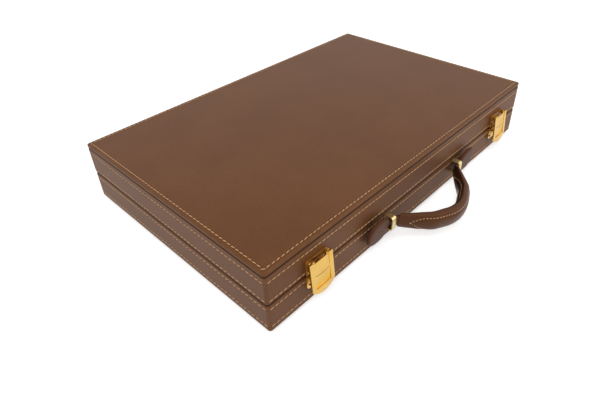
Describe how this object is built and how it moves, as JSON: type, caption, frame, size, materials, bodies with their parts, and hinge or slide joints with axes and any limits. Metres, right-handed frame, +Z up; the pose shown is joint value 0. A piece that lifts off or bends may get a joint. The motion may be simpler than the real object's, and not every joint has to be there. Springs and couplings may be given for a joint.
{
  "type": "folding backgammon set",
  "caption": "Leather attache case that opens flat on a piano hinge into a backgammon board, with brass latches, bowed strap handle, stored checkers, cups and dice.",
  "frame": {"origin": "centre of the case's underside, on the surface it lies on", "axes": "+X to the right along the long side, +Y from the handle to the hinge, +Z up"},
  "size_m": [0.446, 0.3447, 0.075],
  "materials": {
    "case_leather": "brown bridle leather, fine grain, satin",
    "frame_wood": "bare sanded board",
    "field_felt": "dark brown felt",
    "tray_felt": "dark brown felt",
    "divider_leather": "brown leather",
    "points_cream": "cream leather inlay",
    "points_tan": "tan leather inlay",
    "hinge_brass": "polished brass",
    "pin_steel": "steel wire",
    "latch_brass": "polished, gold coloured",
    "loop_brass": "satin pale gold",
    "handle_leather": "brown leather, darker, satin",
    "checker_light": "ivory",
    "checker_dark": "dark brown",
    "cube_ivory": "ivory",
    "cup_leather": "brown leather"
  },
  "bodies": {
    "base": {"base_front_rail": "frame_wood", "base_right_rail": "frame_wood", "base_back_rail": "frame_wood", "base_left_rail": "frame_wood", "base_floor_board": "frame_wood", "base_wall_leather": "case_leather", "base_bottom_panel": "case_leather", "base_playing_board": "field_felt", "base_points_light": "points_cream", "base_points_dark": "points_tan", "base_tray_divider": "divider_leather", "base_tray_lining": "tray_felt", "hinge_leaf_base": "hinge_brass", "hinge_pin": "pin_steel", "hinge_screws_base": "hinge_brass", "keeper_left": "latch_brass", "keeper_right": "latch_brass", "keeper_catch_left": "latch_brass", "keeper_catch_right": "latch_brass", "keeper_rivets": "latch_brass", "handle_loop_left": "loop_brass", "handle_loop_right": "loop_brass", "checkers_light": "checker_light", "checkers_dark": "checker_dark", "dice_light": "checker_light", "dice_dark": "checker_dark", "doubling_cube": "cube_ivory", "dice_cup_left": "cup_leather", "dice_cup_right": "cup_leather"},
    "lid": {"lid_front_rail": "frame_wood", "lid_right_rail": "frame_wood", "lid_back_rail": "frame_wood", "lid_left_rail": "frame_wood", "lid_floor_board": "frame_wood", "lid_wall_leather": "case_leather", "lid_top_panel": "case_leather", "lid_playing_board": "field_felt", "lid_points_light": "points_cream", "lid_points_dark": "points_tan", "lid_tray_divider": "divider_leather", "lid_tray_lining": "tray_felt", "hinge_leaf_lid": "hinge_brass", "hinge_screws_lid": "hinge_brass", "latch_plate_left": "latch_brass", "latch_plate_right": "latch_brass", "latch_plate_rivets": "latch_brass", "latch_pin_left": "pin_steel", "latch_pin_right": "pin_steel"},
    "latch_left": {"latch_lever_left": "latch_brass", "hook_pin_left": "pin_steel"},
    "latch_right": {"latch_lever_right": "latch_brass", "hook_pin_right": "pin_steel"},
    "hook_left": {"latch_hook_left": "latch_brass"},
    "hook_right": {"latch_hook_right": "latch_brass"},
    "handle": {"handle_strap": "handle_leather", "handle_grip": "handle_leather"}
  },
  "joints": [
    {"name": "lid_hinge", "type": "hinge", "parent": "base", "child": "lid", "pos_m": [0, 0.1455, 0.0375], "axis": [-1, 0, 0], "range_deg": [0, 180]},
    {"name": "latch_lever_left", "type": "hinge", "parent": "lid", "child": "latch_left", "pos_m": [-0.1653, -0.1484, 0.0532], "axis": [-1, 0, 0], "range_deg": [0, 90]},
    {"name": "latch_hook_left", "type": "hinge", "parent": "latch_left", "child": "hook_left", "pos_m": [-0.1653, -0.1485, 0.0442], "axis": [-1, 0, 0], "range_deg": [-9, 0]},
    {"name": "latch_lever_right", "type": "hinge", "parent": "lid", "child": "latch_right", "pos_m": [0.1653, -0.1484, 0.0532], "axis": [-1, 0, 0], "range_deg": [0, 90]},
    {"name": "latch_hook_right", "type": "hinge", "parent": "latch_right", "child": "hook_right", "pos_m": [0.1653, -0.1485, 0.0442], "axis": [-1, 0, 0], "range_deg": [-9, 0]},
    {"name": "handle_swing", "type": "hinge", "parent": "base", "child": "handle", "pos_m": [0, -0.151, 0.0285], "axis": [-1, 0, 0], "range_deg": [-2, 17]}
  ]
}
